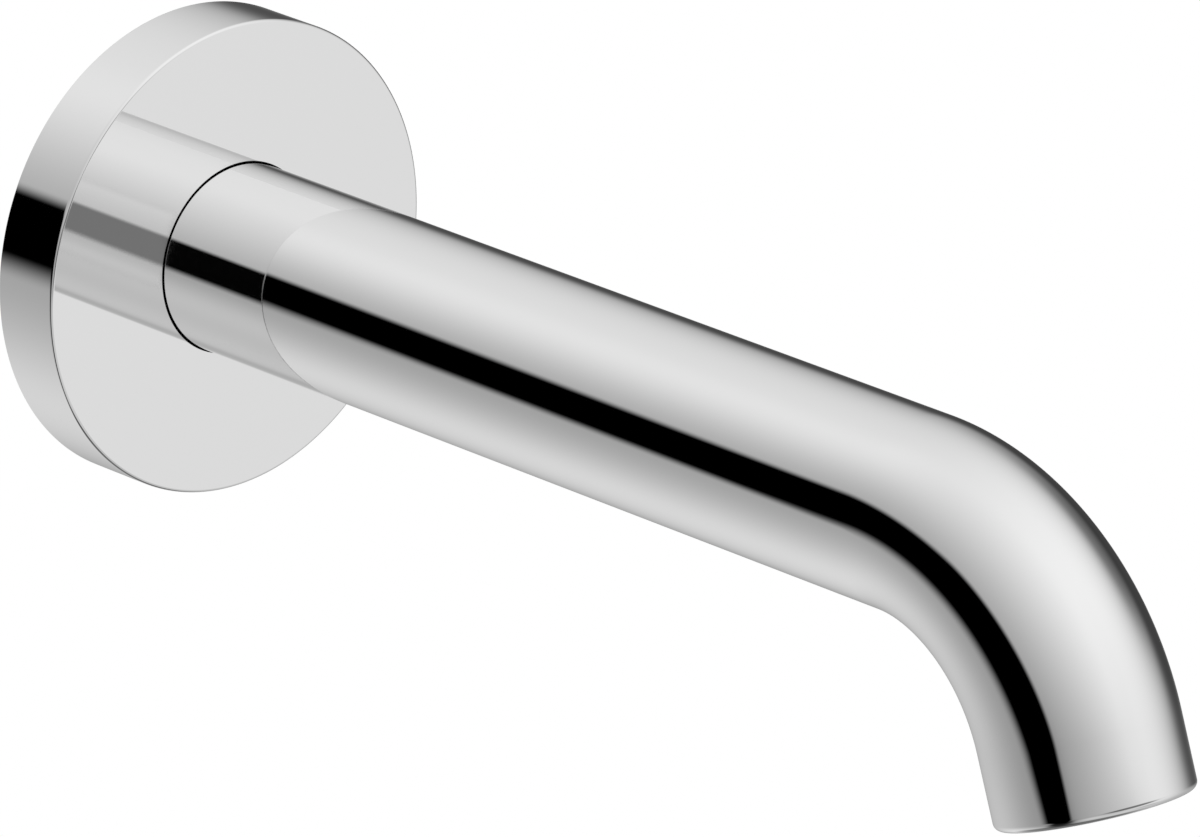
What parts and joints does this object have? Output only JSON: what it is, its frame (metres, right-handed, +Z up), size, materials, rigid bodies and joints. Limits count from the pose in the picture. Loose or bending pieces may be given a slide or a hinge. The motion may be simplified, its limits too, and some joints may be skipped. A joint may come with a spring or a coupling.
{
  "type": "bath spout",
  "caption": "Wall-mounted bath spout: a round rose, and a chromed tube that runs straight out and bends down to an outlet with a recessed jet former.",
  "frame": {"origin": "on the tube's axis, in the plane of the finished wall", "axes": "+Z up; -Y out of the wall along the tube; the thread goes into the wall along +Y; X across, with the outlet on X = 0"},
  "size_m": [0.07, 0.2131, 0.0718],
  "materials": {
    "chromed_brass": "mirror polished chrome plate on brass",
    "turned_brass": "bright turned brass",
    "black_rubber": "matt black EPDM",
    "red_fibre": "pressed fibre washer",
    "stainless_steel": "plain stainless steel",
    "grey_plastic": "moulded grey acetal",
    "white_plastic": "moulded white acetal"
  },
  "bodies": {
    "root": {"connection_nipple": "turned_brass", "thread_washer": "red_fibre", "nipple_o_ring_rear": "black_rubber", "nipple_o_ring_front": "black_rubber", "inlet_bush": "turned_brass", "set_screw": "stainless_steel", "spout_tube": "chromed_brass", "escutcheon": "chromed_brass", "escutcheon_o_ring": "black_rubber", "wall_seal": "black_rubber", "outlet_ring": "turned_brass", "jet_seal": "black_rubber", "jet_housing": "grey_plastic", "jet_strainer": "white_plastic", "jet_distributor": "white_plastic", "jet_screen_lower": "stainless_steel", "jet_screen_upper": "stainless_steel", "jet_honeycomb": "grey_plastic"}
  },
  "joints": []
}
